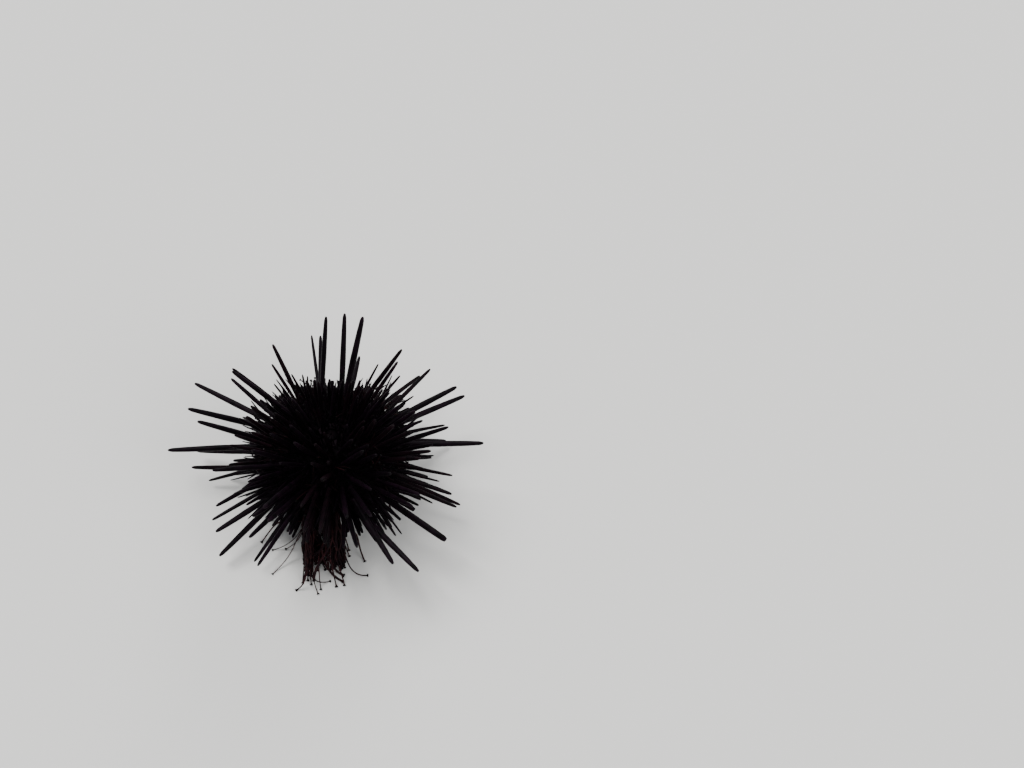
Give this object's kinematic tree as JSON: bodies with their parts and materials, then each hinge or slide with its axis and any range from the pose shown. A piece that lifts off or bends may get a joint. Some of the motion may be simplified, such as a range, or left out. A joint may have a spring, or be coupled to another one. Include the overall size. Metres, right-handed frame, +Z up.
{
  "type": "purple sea urchin",
  "caption": "Life-size still model of a purple sea urchin at rest: a flattened round test bristling with long dark spines, with tube feet reaching down to the floor.",
  "frame": {"origin": "on the floor, under the middle of the spread of the spines", "axes": "+Z up along the test's own axis, from the mouth to the apex; -Y towards the fan of tube feet; +X to the right of it when that fan faces the viewer"},
  "size_m": [0.0992, 0.0882, 0.0514],
  "materials": {
    "interambulacrum": "near-black purple, faintly glossy, as the spines are when wet",
    "ambulacrum": "near-black reddish purple, faintly glossy",
    "apical_plate": "dark purple, matt",
    "madreporite": "dull purple, finely porous",
    "membrane": "dark reddish brown skin",
    "tooth": "off-white, smooth"
  },
  "bodies": {
    "root": {"interambulacrum_1": "interambulacrum", "interambulacrum_2": "interambulacrum", "interambulacrum_3": "interambulacrum", "interambulacrum_4": "interambulacrum", "interambulacrum_5": "interambulacrum", "ambulacrum_1": "ambulacrum", "ambulacrum_2": "ambulacrum", "ambulacrum_3": "ambulacrum", "ambulacrum_4": "ambulacrum", "ambulacrum_5": "ambulacrum", "genital_plate_1": "apical_plate", "genital_plate_3": "apical_plate", "genital_plate_4": "apical_plate", "genital_plate_5": "apical_plate", "madreporite": "madreporite", "ocular_plate_1": "apical_plate", "ocular_plate_2": "apical_plate", "ocular_plate_3": "apical_plate", "ocular_plate_4": "apical_plate", "ocular_plate_5": "apical_plate", "periproct": "membrane", "peristome": "membrane", "tooth_1": "tooth", "tooth_2": "tooth", "tooth_3": "tooth", "tooth_4": "tooth", "tooth_5": "tooth"}
  },
  "joints": []
}
